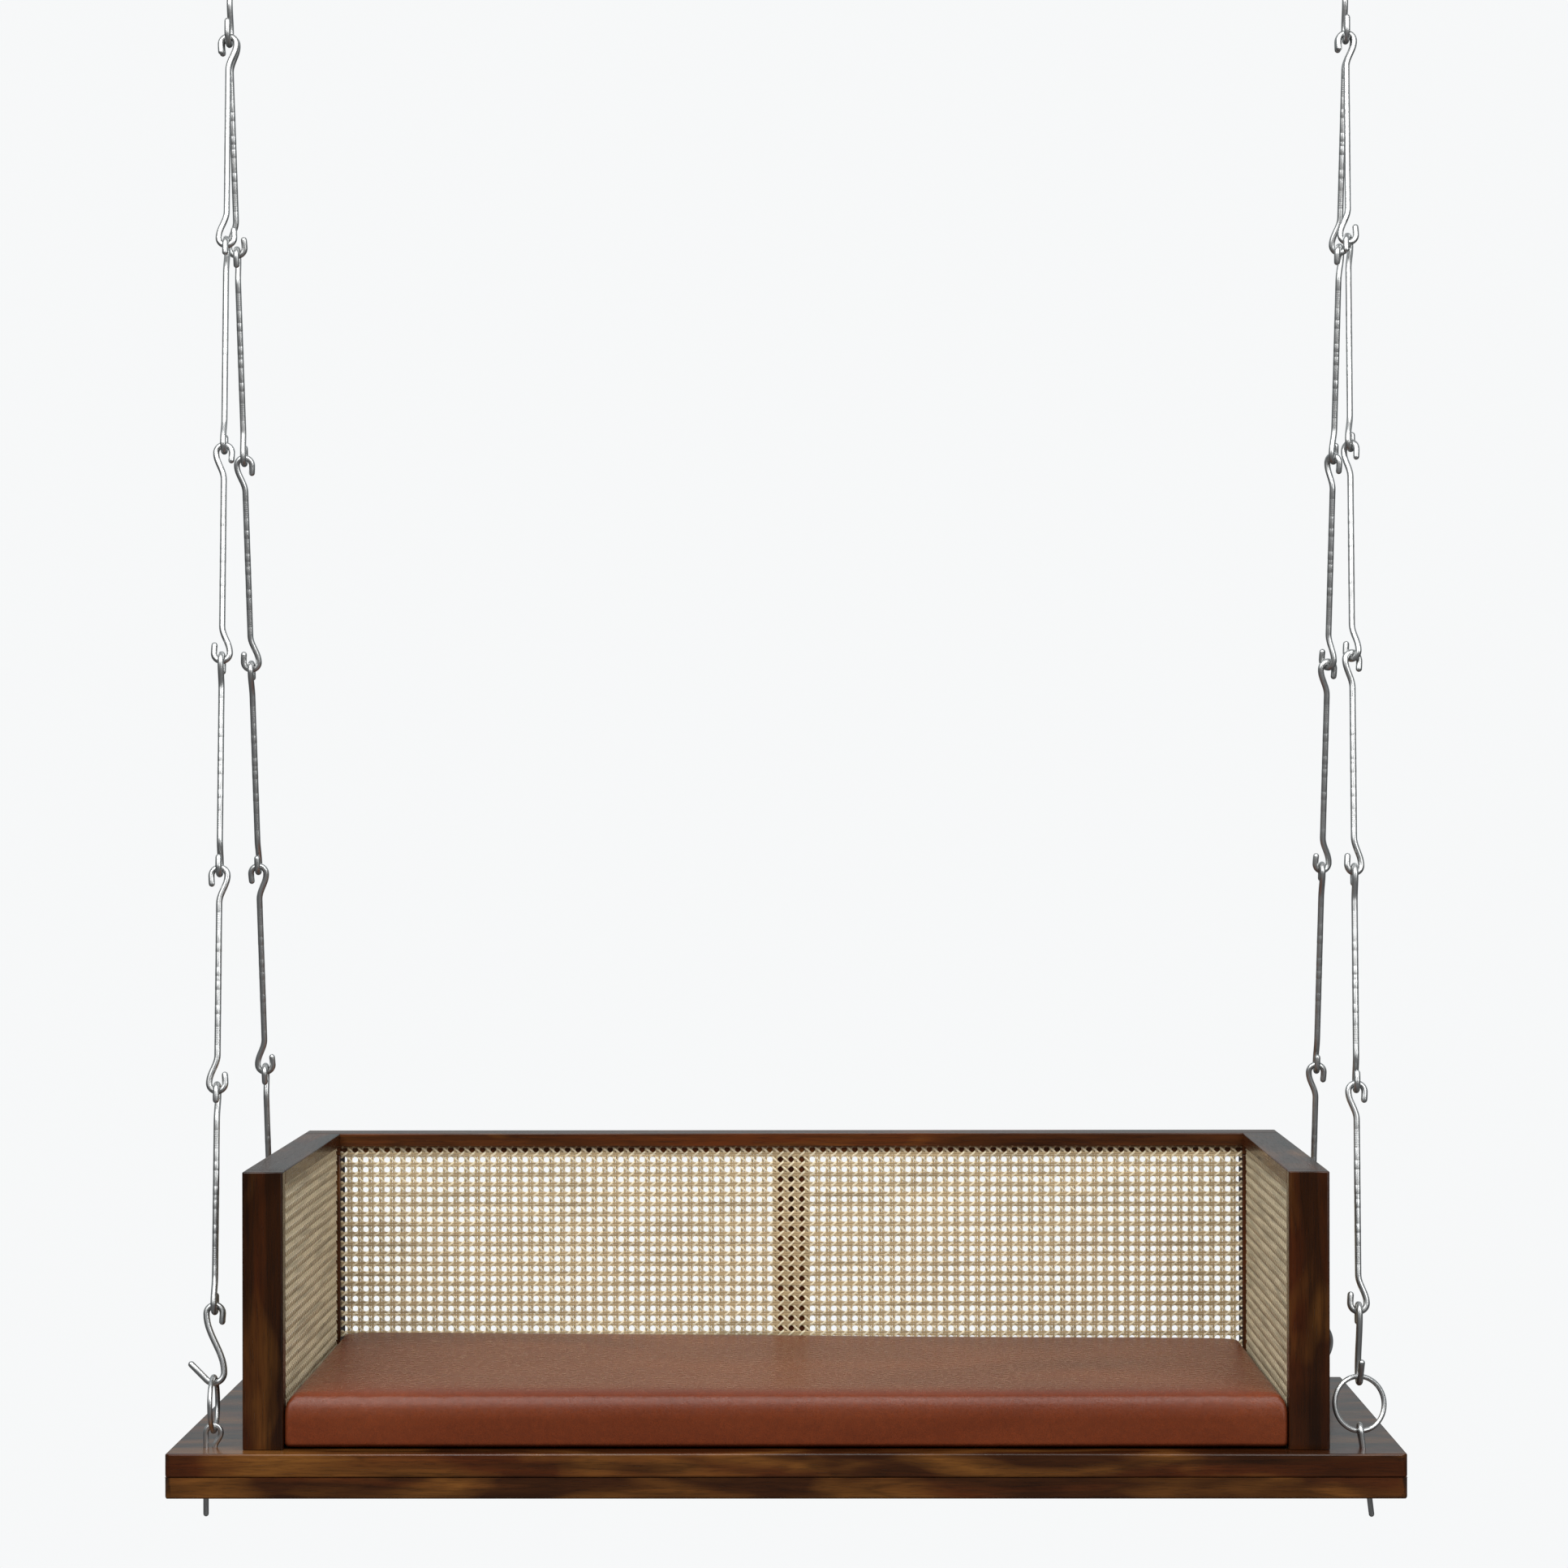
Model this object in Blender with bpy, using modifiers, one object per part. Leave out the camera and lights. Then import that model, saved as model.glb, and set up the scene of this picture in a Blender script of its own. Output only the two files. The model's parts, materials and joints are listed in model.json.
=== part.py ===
"""Hanging garden swing: a caned wooden bench on a two-board platform, hung by four chains of long links.

Frame: the origin is on the ceiling, midway between the two ceiling plates; +X is the sitter's left
(the viewer's right when facing the seat), +Y is towards the bench's back and +Z is up.
At rest the platform is level and each side's two chains meet in a V on one hanger.
"""
import math

import bpy
from mathutils import Euler, Matrix, Vector

MM = 0.001
GAP = 0.3 * MM

# Heights from the ceiling and above the platform. The chains lean a little outwards as they rise.
PLATFORM_TOP = -1675 * MM
HANG_X = 640 * MM
STAPLE_X = 620.5 * MM
HANG_RISE = 1569.6 * MM
EYE_TOP = 24 * MM

# Two-board platform. It sits a little forward of the hangers, so that the seat's weight hangs level.
SEAT_Y = -17 * MM
PLATFORM_SIZE = Vector((1332, 600, 0)) * MM
TOP_BOARD = 25 * MM
LOWER_BOARD = 22.7 * MM
PLATFORM_EDGE = 3 * MM

# Bench frame, all heights above the platform.
BENCH_WIDTH = 1172 * MM
BENCH_FRONT = -273 * MM
BENCH_BACK = 297 * MM
BENCH_HEIGHT = 300 * MM
POST = 44 * MM
FRONT_DEPTH = 25 * MM
BACK_DEPTH = 50 * MM
RAIL_HEIGHT = 26 * MM
RAIL_LIP = 15 * MM
SILL_HEIGHT = 44 * MM
WOOD_EDGE = 1.5 * MM
CANE_THICKNESS = 2.2 * MM
CANE_FOOT = 5 * MM
SIDE_REBATE = 3.5 * MM
BACK_REBATE = 6 * MM
STILE_DEPTH = 35 * MM

# Box cushion.
CUSHION_BOTTOM = 1 * MM
CUSHION_TOP = 60 * MM
CUSHION_SIDE_GAP = 1.5 * MM
CUSHION_FRONT_SET = 5 * MM
CUSHION_EDGE = 8 * MM

# Links of round rod, hooked into each other. Rods that bear on each other keep a little room.
WIRE = 3.5 * MM
CONTACT = 2 * WIRE + 0.4 * MM
HOOK = 8.9 * MM
HOOK_LEG = 40 * MM
TIP_DROP = 7 * MM
TIP_SHARE = 0.8
LINK_PITCH = 241 * MM
PAIR_OFFSET = 5 * MM

# The wide S hook and the ring at the foot of each chain.
S_BOW = 11 * MM
S_FLARE = 25 * MM
S_OPENING = 135
RING_RADIUS = 29.25 * MM
RING_WIRE = 2.75 * MM
RING_STEPS = 24
RING_SIDES = 6
RING_CONTACT = WIRE + RING_WIRE + GAP

# Eye staples. Their long leg is STAPLE_BOW to one side of the eye's middle, their short leg STAPLE_FOOT
# to the other.
STAPLE_WIRE = 3 * MM
STAPLE_BOW = 8.2 * MM
STAPLE_FOOT = 1.5 * MM
STAPLE_BLIND = 15 * MM
STAPLE_HOLE = 3.7 * MM
STAPLE_Y = 250 * MM
STAPLE_CONTACT = STAPLE_WIRE + RING_WIRE + 3 * GAP
BLIND_ROOM = 1 * MM
PIN_END = 27 * MM
RIGHT_STAPLE_TILT = math.radians(-7)

# Hangers, ceiling eyes and their plates.
HANGER_BOW = 14 * MM
HANGER_HEIGHT = 75 * MM
HANGER_DROP = 1.5 * MM
HANGER_TIP = 6 * MM
CEILING_BOW = 12 * MM
PLATE_SIZE = Vector((100, 60, 5)) * MM
PLATE_EDGE = 0.5 * MM
SCREW_HOLE = 3 * MM
SCREW_SPACING = Vector((76, 36)) * MM

# How finely bends and drilled holes are drawn.
ARC_STEP = 30
BEND_STEPS = 4
HOLE_SIDES = 12

# Turn of each link's hooks about its chain, in degrees, from the top link down.
LINK_TURNS = {"left": (0, 90, 180, 270, 0, 90), "right": (0, 68, 135, 203, 270, 180)}
S_HOOK_TURN = {"left": 0, "right": 90}
RING_TURN = {"left": 90, "right": 18}
STAPLE_TURN = {"left": 0, "right": 90}
SIDES = {"left": -1, "right": 1}
ENDS = {"front": -1, "back": 1}


def clear_scene():
    for item in list(bpy.data.objects):
        bpy.data.objects.remove(item, do_unlink=True)


def new_collection(name):
    collection = bpy.data.collections.new(name)
    bpy.context.scene.collection.children.link(collection)
    return collection


def material(name, color, roughness, metallic=0.0):
    made = bpy.data.materials.new(name)
    made.use_nodes = True
    shader = made.node_tree.nodes["Principled BSDF"]
    shader.inputs["Base Color"].default_value = (*color, 1.0)
    shader.inputs["Roughness"].default_value = roughness
    shader.inputs["Metallic"].default_value = metallic
    return made


clear_scene()
PARTS = new_collection("porch_swing")
CUTTERS = new_collection("cutters")
WOOD = material("dark_wood", (0.11, 0.045, 0.02), 0.25)
CANE = material("cane", (0.55, 0.42, 0.25), 0.6)
LEATHERETTE = material("leatherette", (0.24, 0.08, 0.045), 0.4)
STEEL = material("steel", (0.6, 0.6, 0.6), 0.15, 1.0)


def place(item, parent=None, location=(0, 0, 0), collection=None):
    """Moves an object into one collection, under its parent, at a place in its parent's frame."""
    for other in list(item.users_collection):
        other.objects.unlink(item)
    (collection or PARTS).objects.link(item)
    item.parent = parent
    item.location = location
    return item


def empty(name, location, parent=None):
    return place(bpy.data.objects.new(name, None), parent, location)


def block(name, low, high, made_of, parent, edge=WOOD_EDGE):
    """A board between two corners in its parent's frame, with eased edges."""
    low, high = Vector(low), Vector(high)
    bpy.ops.mesh.primitive_cube_add(size=1)
    board = bpy.context.object
    board.name = name
    board.data.transform(Matrix.Diagonal((*(high - low), 1)))
    board.data.materials.append(made_of)
    place(board, parent, (low + high) / 2)
    if edge:
        bevel = board.modifiers.new("eased_edges", "BEVEL")
        bevel.width = edge
        bevel.segments = 1
    return board


def cutter(item, target):
    """Takes a cutter's shape out of a target."""
    item.hide_render = True
    item.display_type = "WIRE"
    cut = target.modifiers.new("cut_" + item.name, "BOOLEAN")
    cut.operation = "DIFFERENCE"
    cut.object = item


def hole(name, target, parent, matrix, radius, depth):
    bpy.ops.mesh.primitive_cylinder_add(vertices=HOLE_SIDES, radius=radius, depth=depth)
    drill = bpy.context.object
    drill.name = name
    drill.data.transform(matrix)
    place(drill, parent, collection=CUTTERS)
    cutter(drill, target)


def wire(name, points, radius, parent, location=(0, 0, 0), turn=0.0, tilt=0.0):
    """A round steel rod along points in the XZ plane, turned about Z and then tilted about Y."""
    curve = bpy.data.curves.new(name, "CURVE")
    curve.dimensions = "3D"
    curve.bevel_depth = radius
    curve.bevel_resolution = 1
    curve.use_fill_caps = True
    path = curve.splines.new("POLY")
    path.points.add(len(points) - 1)
    for point, (x, z) in zip(path.points, points):
        point.co = (x, 0, z, 1)
    curve.materials.append(STEEL)
    rod = place(bpy.data.objects.new(name, curve), parent, location)
    rod.rotation_euler = (Matrix.Rotation(tilt, 3, "Y") @ Matrix.Rotation(turn, 3, "Z")).to_euler()
    return rod


def arc(center, radius, start, stop):
    """Points round a circle from one angle to another, in degrees, in the XZ plane."""
    steps = math.ceil(abs(stop - start) / ARC_STEP)
    angles = [math.radians(start + (stop - start) * k / steps) for k in range(steps + 1)]
    return [(center[0] + radius * math.cos(a), center[1] + radius * math.sin(a)) for a in angles]


def ease(start, stop):
    """Points of a smooth S bend that leaves and arrives upright, without its two ends."""
    points = []
    for k in range(1, BEND_STEPS):
        share = k / BEND_STEPS
        blend = (1 - math.cos(math.pi * share)) / 2
        points.append((start[0] + (stop[0] - start[0]) * blend, start[1] + (stop[1] - start[1]) * share))
    return points


def hook_bow():
    """A hook's tip on -X and its bow, over the top at the origin and down to +X."""
    return [(-HOOK * TIP_SHARE, -HOOK - TIP_DROP), *arc((0, -HOOK), HOOK, 180, 0)]


def turned_over(points, height):
    """The same bend at the other end of a piece of this height, in order down the piece."""
    return [(-x, -height - z) for x, z in reversed(points)]


def link_points():
    """A straight shaft on the axis with a hook at each end, open to opposite sides."""
    bow = hook_bow()
    shaft = (0, -HOOK_LEG)
    top = [*bow, *ease(bow[-1], shaft), shaft]
    return top + turned_over(top, LINK_PITCH + CONTACT)


def s_hook_points(height):
    """A closed top hook with its tip on +X, and a wide lower hook whose straight tip flares up on -X."""
    top = [(-x, z) for x, z in hook_bow()]
    lower = arc((0, S_BOW - height), S_BOW, 0, -S_OPENING)
    flare = math.radians(S_OPENING - 90)
    tip = (lower[-1][0] - S_FLARE * math.cos(flare), lower[-1][1] + S_FLARE * math.sin(flare))
    return [*top, *ease(top[-1], lower[0]), *lower, tip]


def hanger_points():
    """An S hook: its closed top is at the origin and its wide lower bow takes two chains."""
    top = hook_bow()
    low = arc((0, HANGER_BOW - HANGER_HEIGHT), HANGER_BOW, 0, -180)
    tip = (low[-1][0], low[-1][1] + HANGER_TIP)
    return [*top, *ease(top[-1], low[0]), *low, tip]


def staple_points():
    """A pear-shaped eye: one leg goes right through the platform, the other ends inside the top board."""
    middle = EYE_TOP - STAPLE_BOW
    through = TOP_BOARD + LOWER_BOARD + GAP + PIN_END
    bow = arc((0, middle), STAPLE_BOW, 180, 0)
    surface = (STAPLE_FOOT, 0)
    end = (STAPLE_FOOT, -STAPLE_BLIND)
    return [(-STAPLE_BOW, -through), *bow, *ease(bow[-1], surface), surface, end]


def chain_line(side, end):
    """A chain's top point, its length down to the staple, and the turn that lays -Z along it."""
    top = Vector((0, ENDS[end] * PAIR_OFFSET, 0))
    inwards = SIDES[side] * (STAPLE_X - HANG_X)
    foot = Vector((inwards, SEAT_Y + ENDS[end] * STAPLE_Y, EYE_TOP - HANG_RISE))
    line = foot - top
    lean = Matrix.Rotation(math.atan2(line.y, -line.z), 3, "X")
    splay = Matrix.Rotation(-math.asin(line.x / line.length), 3, "Y")
    return top, line.length, (lean @ splay).to_euler()


def chain(side, end, sway_axis):
    """Six long links, a connecting S hook and a ring, hooked into each other down a leaning line."""
    tag = side[0] + end[0]
    top, length, slope = chain_line(side, end)
    line = empty(f"chain_line_{tag}", top, sway_axis)
    line.rotation_euler = slope
    height = CONTACT
    shape = link_points()
    for number, turn in enumerate(LINK_TURNS[side], start=1):
        wire(f"link_{tag}_{number}", shape, WIRE, line, (0, 0, height), math.radians(turn))
        height -= LINK_PITCH
    ring_top = 2 * RING_RADIUS - STAPLE_CONTACT - length
    hook_height = height - (ring_top - RING_CONTACT)
    turn = math.radians(S_HOOK_TURN[side])
    wire(f"s_hook_{tag}", s_hook_points(hook_height), WIRE, line, (0, 0, height), turn)
    bpy.ops.mesh.primitive_torus_add(
        major_radius=RING_RADIUS,
        minor_radius=RING_WIRE,
        major_segments=RING_STEPS,
        minor_segments=RING_SIDES,
    )
    ring = bpy.context.object
    ring.name = f"ring_{tag}"
    ring.data.transform(Matrix.Rotation(math.radians(90), 4, "X"))
    ring.data.materials.append(STEEL)
    place(ring, line, (0, 0, ring_top - RING_RADIUS))
    ring.rotation_euler = Euler((0, 0, math.radians(RING_TURN[side])))
    ring.data.shade_smooth()


def hanging_gear(side):
    """Ceiling plate and eye, hanger and the two chains of one side."""
    x = SIDES[side] * HANG_X
    hanger_top = PLATFORM_TOP + HANG_RISE + HANGER_HEIGHT - HANGER_DROP
    eye_rod = hanger_top - CONTACT
    middle = Vector((x, 0, -PLATE_SIZE.z / 2))
    half = PLATE_SIZE / 2
    plate = block(f"ceiling_plate_{side}", middle - half, middle + half, STEEL, None, PLATE_EDGE)
    for number in range(4):
        reach_x = SCREW_SPACING.x / 2 * (1 if number % 2 else -1)
        reach_y = SCREW_SPACING.y / 2 * (1 if number // 2 else -1)
        at = Matrix.Translation(middle + Vector((reach_x, reach_y, 0)))
        hole(f"screw_hole_{side}_{number}", plate, None, at, SCREW_HOLE, 4 * PLATE_SIZE.z)
    leg = -PLATE_SIZE.z - GAP - eye_rod
    eye = [(-CEILING_BOW, leg), *arc((0, CEILING_BOW), CEILING_BOW, 180, 360), (CEILING_BOW, leg)]
    wire(f"ceiling_eye_{side}", eye, WIRE, None, (x, 0, eye_rod))
    swing_axis = empty(f"swing_axis_{side}", (x, 0, eye_rod))
    wire(f"hanger_{side}", hanger_points(), WIRE, swing_axis, (0, 0, CONTACT), math.radians(90))
    sway_axis = empty(f"sway_axis_{side}", (0, 0, PLATFORM_TOP + HANG_RISE - eye_rod), swing_axis)
    for end in ENDS:
        chain(side, end, sway_axis)


def platform(seat):
    """Two boards with the staples' holes, and the four eye staples."""
    half = PLATFORM_SIZE / 2
    lower_top = -TOP_BOARD - GAP
    top = block(
        "platform_top_board",
        (-half.x, -half.y, -TOP_BOARD),
        (half.x, half.y, 0),
        WOOD,
        seat,
        PLATFORM_EDGE,
    )
    lower = block(
        "platform_lower_board",
        (-half.x, -half.y, lower_top - LOWER_BOARD),
        (half.x, half.y, lower_top),
        WOOD,
        seat,
        PLATFORM_EDGE,
    )
    through = 2 * (TOP_BOARD + LOWER_BOARD + PIN_END)
    blind = 2 * (STAPLE_BLIND + BLIND_ROOM)
    for side, sign in SIDES.items():
        tilt = RIGHT_STAPLE_TILT if side == "right" else 0.0
        turn = math.radians(STAPLE_TURN[side])
        for end, toward in ENDS.items():
            tag = side[0] + end[0]
            shift = EYE_TOP * math.sin(tilt)
            rise = EYE_TOP * (1 - math.cos(tilt))
            at = Vector((sign * STAPLE_X - shift, toward * STAPLE_Y, rise))
            wire(f"eye_staple_{tag}", staple_points(), STAPLE_WIRE, seat, at, turn, tilt)
            frame = Matrix.Translation(at) @ Matrix.Rotation(tilt, 4, "Y") @ Matrix.Rotation(turn, 4, "Z")
            outer = frame @ Matrix.Translation((-STAPLE_BOW, 0, 0))
            inner = frame @ Matrix.Translation((STAPLE_FOOT, 0, 0))
            hole(f"leg_hole_{tag}_top", top, seat, outer, STAPLE_HOLE, through)
            hole(f"leg_hole_{tag}_low", lower, seat, outer, STAPLE_HOLE, through)
            hole(f"foot_hole_{tag}", top, seat, inner, STAPLE_HOLE, blind)


def bench(seat):
    """Posts, rails, sills, a centre stile and three cane panels set in rebates."""
    outer = BENCH_WIDTH / 2
    inner = outer - POST
    cane_side = inner + SIDE_REBATE
    back_face = BENCH_BACK - BACK_DEPTH
    cane_back = back_face + BACK_REBATE
    rail_foot = BENCH_HEIGHT - RAIL_HEIGHT
    lip_foot = BENCH_HEIGHT - RAIL_LIP
    rear = BENCH_FRONT + FRONT_DEPTH + GAP
    front = back_face - GAP
    rail = block(
        "back_top_rail", (-outer, back_face, rail_foot), (outer, BENCH_BACK, BENCH_HEIGHT), WOOD, seat
    )
    rebate_low = Vector((-inner, back_face - POST, rail_foot - POST))
    rebate_high = Vector((inner, cane_back + CANE_THICKNESS + GAP, lip_foot))
    rebate = block("back_rebate", rebate_low, rebate_high, WOOD, seat, 0)
    place(rebate, seat, (rebate_low + rebate_high) / 2, CUTTERS)
    cutter(rebate, rail)
    behind = cane_back + CANE_THICKNESS + GAP
    block(
        "back_bottom_rail",
        (GAP - inner, behind, GAP),
        (inner - GAP, BENCH_BACK, SILL_HEIGHT),
        WOOD,
        seat,
    )
    block(
        "back_centre_stile",
        (-POST / 2, behind, SILL_HEIGHT + GAP),
        (POST / 2, behind + STILE_DEPTH, rail_foot - GAP),
        WOOD,
        seat,
    )
    block(
        "cane_back",
        (GAP - inner, cane_back, CANE_FOOT),
        (inner - GAP, cane_back + CANE_THICKNESS, lip_foot - GAP),
        CANE,
        seat,
        0,
    )
    for side, sign in SIDES.items():
        near = sorted((sign * inner, sign * outer))
        block(
            f"front_post_{side}",
            (near[0], BENCH_FRONT, GAP),
            (near[1], BENCH_FRONT + FRONT_DEPTH, BENCH_HEIGHT),
            WOOD,
            seat,
        )
        block(
            f"back_post_{side}",
            (near[0], back_face, GAP),
            (near[1], BENCH_BACK, rail_foot - GAP),
            WOOD,
            seat,
        )
        arm = block(
            f"arm_rail_{side}",
            (near[0], rear, rail_foot),
            (near[1], front, BENCH_HEIGHT),
            WOOD,
            seat,
        )
        recess = cane_side + CANE_THICKNESS + GAP
        cut = sorted((sign * (inner - POST), sign * recess))
        cut_low = Vector((cut[0], rear - POST, rail_foot - POST))
        cut_high = Vector((cut[1], front + POST, lip_foot))
        slot = block(f"side_rebate_{side}", cut_low, cut_high, WOOD, seat, 0)
        place(slot, seat, (cut_low + cut_high) / 2, CUTTERS)
        cutter(slot, arm)
        sill = sorted((sign * recess, sign * outer))
        block(
            f"arm_sill_{side}",
            (sill[0], rear, GAP),
            (sill[1], front, SILL_HEIGHT),
            WOOD,
            seat,
        )
        panel = sorted((sign * cane_side, sign * (cane_side + CANE_THICKNESS)))
        block(
            f"cane_{side}",
            (panel[0], rear, CANE_FOOT),
            (panel[1], front, lip_foot - GAP),
            CANE,
            seat,
            0,
        )
    block(
        "cushion",
        (CUSHION_SIDE_GAP - inner, BENCH_FRONT + CUSHION_FRONT_SET, CUSHION_BOTTOM),
        (inner - CUSHION_SIDE_GAP, back_face - GAP, CUSHION_TOP),
        LEATHERETTE,
        seat,
        CUSHION_EDGE,
    )


def build():
    for side in SIDES:
        hanging_gear(side)
    seat = empty("seat", (0, SEAT_Y, PLATFORM_TOP))
    platform(seat)
    bench(seat)


build()
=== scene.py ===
"""The look of the porch swing: lacquered wood, woven cane, a coated fabric cushion and steel chains.

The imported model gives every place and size; lengths here are in metres, with MM for millimetres.
"""
import json
import math
import random

import bmesh
import bpy
from mathutils import Matrix, Vector, noise


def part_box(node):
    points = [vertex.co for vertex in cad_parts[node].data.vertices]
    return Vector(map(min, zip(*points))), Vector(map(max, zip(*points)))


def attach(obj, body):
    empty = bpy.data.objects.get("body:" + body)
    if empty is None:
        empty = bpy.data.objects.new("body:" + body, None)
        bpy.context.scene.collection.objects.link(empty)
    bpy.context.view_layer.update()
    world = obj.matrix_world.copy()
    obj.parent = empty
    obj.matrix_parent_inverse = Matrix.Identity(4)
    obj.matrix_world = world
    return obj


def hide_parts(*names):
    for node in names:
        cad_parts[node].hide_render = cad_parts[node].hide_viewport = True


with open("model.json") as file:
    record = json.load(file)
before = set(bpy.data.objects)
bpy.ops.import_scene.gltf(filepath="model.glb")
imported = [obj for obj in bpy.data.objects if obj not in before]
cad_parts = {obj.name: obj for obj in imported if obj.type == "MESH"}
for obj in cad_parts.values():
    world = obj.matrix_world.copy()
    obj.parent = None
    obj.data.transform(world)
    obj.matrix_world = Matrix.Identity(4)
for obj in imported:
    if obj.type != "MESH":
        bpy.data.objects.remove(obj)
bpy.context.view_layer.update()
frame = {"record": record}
JOINTS = {joint["name"]: joint for joint in frame["record"]["behaviour"]["joints"]}

MM = 0.001
SIDES = {"left": -1, "right": 1}
ENDS = {"front": -1, "back": 1}


def corners(node):
    low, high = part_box(node)
    return Vector(low), Vector(high)


def pivot(joint):
    return Vector(JOINTS[joint]["pos_m"])


PLATFORM_LOW, PLATFORM_HIGH = corners("platform_top_board")
PLATFORM_TOP = PLATFORM_HIGH.z
SEAT_Y = (PLATFORM_LOW.y + PLATFORM_HIGH.y) / 2
UNDERSIDE = corners("platform_lower_board")[0].z
STAPLE_X = abs(pivot("seat_level").x)
STAPLE_Y = 250 * MM  # How far the eyes stand in front of and behind the seat's middle.
EYE_TOP = pivot("seat_level").z - PLATFORM_TOP

# Wire pieces, as in the frame.
WIRE = 3.5 * MM
CONTACT = 2 * WIRE + 0.4 * MM
HOOK = 8.9 * MM
HOOK_LEG = 40 * MM
TIP = 9 * MM
TIP_MIDDLE = 0.98  # How far out a tip stands at its middle, as a share of its bow's radius.
TIP_END = 0.94
LINK_PITCH = 241 * MM
PAIR_OFFSET = 5 * MM
RING_RADIUS = 29.25 * MM
RING_WIRE = 2.75 * MM
RING_CONTACT = WIRE + RING_WIRE + 0.3 * MM
STAPLE_WIRE = 3 * MM
STAPLE_CONTACT = STAPLE_WIRE + RING_WIRE + 0.9 * MM
STAPLE_BOW = 8.2 * MM
STAPLE_FOOT = 1.5 * MM
STAPLE_BLIND = 15 * MM
S_BOW = 11 * MM
S_FLARE = 24 * MM
S_OPENING = 135
PIN_END = 27 * MM
RIGHT_STAPLE_TILT = math.radians(-7)
HANGER_BOW = 14 * MM
HANGER_HEIGHT = 75 * MM
HANGER_TIP = 11 * MM
HANGER_TIP_END = 0.97
HANGER_SHORTER = 6  # Points of a link's hook that the hanger leaves out before its own bend.
CEILING_BOW = 12 * MM
EYE_CLEAR = 0.3 * MM
PLATE_SCREWS = Vector((38 * MM, 18 * MM))
PLATE_ROUNDS = (0.6 * MM, 1.0 * MM, 6 * MM)
LINK_TURNS = {"left": (0, 90, 180, 270, 0, 90), "right": (0, 68, 135, 203, 270, 180)}
S_HOOK_TURN = {"left": 0, "right": 90}
RING_TURN = {"left": 90, "right": 18}
STAPLE_TURN = {"left": 0, "right": 90}
ROD_SIDES = 16
ROD_END_ANGLES = (75, 50, 25)
TURNED_SIDES = 24

# Edges that turn by more than these angles, in degrees, stay sharp.
ROD_SHARP = 40
TURNED_SHARP = 35
BOARD_SHARP = 30
STRAND_SHARP = 50

# Turned decoration on a link's straight shaft, as shares of its length.
GROOVES = 9
GROOVE_RUNS = ((0.065, 0.18), (0.82, 0.935))
GROOVE_WIDTH = 1.1 * MM
GROOVE_DEPTH = 0.09 * MM
BANDS = (0.295, 0.455, 0.545, 0.705)
BAND_WIDTH = 8.4 * MM
BAND_RISE = 0.07 * MM
BAND_NICK = 0.6 * MM

# Cane weave: pairs of upright and level strands between the holes, and a diagonal past each side of a hole.
HOLE_PITCH_ALONG = 12.8 * MM
HOLE_PITCH_DOWN = 11.95 * MM
FIRST_HOLE_DOWN = 4.7 * MM
UPRIGHT_PAIR = 3.4 * MM
UPRIGHT_WIDTH = 2.75 * MM
LEVEL_PAIR = 2.75 * MM
LEVEL_WIDTH = 2.5 * MM
DIAGONAL_WIDTH = 2.2 * MM
DIAGONAL_FLAT = 0.36
STRAND_THICK = 0.65 * MM
SIDE_TOP_GAP = 2.5 * MM
STRAND_WANDER = 0.14 * MM
STRAND_SPREAD = (0.93, 1.05)
STRAND_SECTION = ((-0.5, -0.5), (0.5, -0.5), (0.5, -0.2), (0.0, 0.5), (-0.5, -0.2))

# How far strands lift off the panel's middle plane, in millimetres: at a crossing, and beside it.
UPRIGHT_LIFTS = (-0.3, 0.0)
LEVEL_LIFTS = (0.22, -0.05)
DIAGONAL_OVER = 0.68
DIAGONAL_UNDER = -0.62


# ---------------------------------------------------------------- camera, lights and room

CAMERA_AHEAD = 4.488
CAMERA_X = 0.0604
CAMERA_RISE = 0.702
CAMERA_YAW = math.radians(0.475)
CAMERA_ROLL = math.radians(-0.09)
LENS = 96.24
SENSOR_WIDTH = 36
CLIP_END = 200
SHIFT = (-0.014, 0.0093)
FLOOR_DROP = 0.45
BACKDROP = (0.93, 0.94, 0.945, 1)
FLOOR_GREY = 0.12
FLOOR_RADIUS = 30
ROOM_BY_HEIGHT = [
    (0.0, (0.2, 0.2, 0.2)),
    (0.5, (0.21, 0.235, 0.24)),
    (0.62, (0.36, 0.395, 0.405)),
    (1.0, (0.6, 0.63, 0.65)),
]
ROOM_BY_DEPTH = [(0.0, (0.2,) * 3), (0.42, (0.28,) * 3), (0.62, (0.85,) * 3), (1.0, (1.0,) * 3)]

# Each softbox's place, size and power.
SOFTBOXES = {
    "key_light": ((-2.0, -3.4, 1.2), (3.0, 2.2), 108),
    "fill_light": ((2.6, -3.2, 0.4), (2.2, 2.4), 74),
    "top_light": ((0.0, -1.7, 1.1), (3.2, 0.7), 68),
}
AIM_RISE = 0.2


def add_camera():
    data = bpy.data.cameras.new("camera")
    data.sensor_width = SENSOR_WIDTH
    data.lens = LENS
    data.shift_x, data.shift_y = SHIFT
    data.clip_end = CLIP_END
    camera = bpy.data.objects.new("camera", data)
    bpy.context.scene.collection.objects.link(camera)
    camera.location = (CAMERA_X, PLATFORM_LOW.y - CAMERA_AHEAD, PLATFORM_TOP + CAMERA_RISE)
    look = Matrix.Rotation(CAMERA_YAW, 3, "Z") @ Matrix.Rotation(math.radians(90), 3, "X")
    camera.rotation_euler = (look @ Matrix.Rotation(CAMERA_ROLL, 3, "Z")).to_euler()
    bpy.context.scene.camera = camera


def softbox(name, place, aim, size, power):
    data = bpy.data.lights.new(name, "AREA")
    data.shape = "RECTANGLE"
    data.size, data.size_y = size
    data.energy = power
    light = bpy.data.objects.new(name, data)
    bpy.context.scene.collection.objects.link(light)
    light.location = place
    light.rotation_euler = (Vector(aim) - Vector(place)).to_track_quat("-Z", "Y").to_euler()


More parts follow.
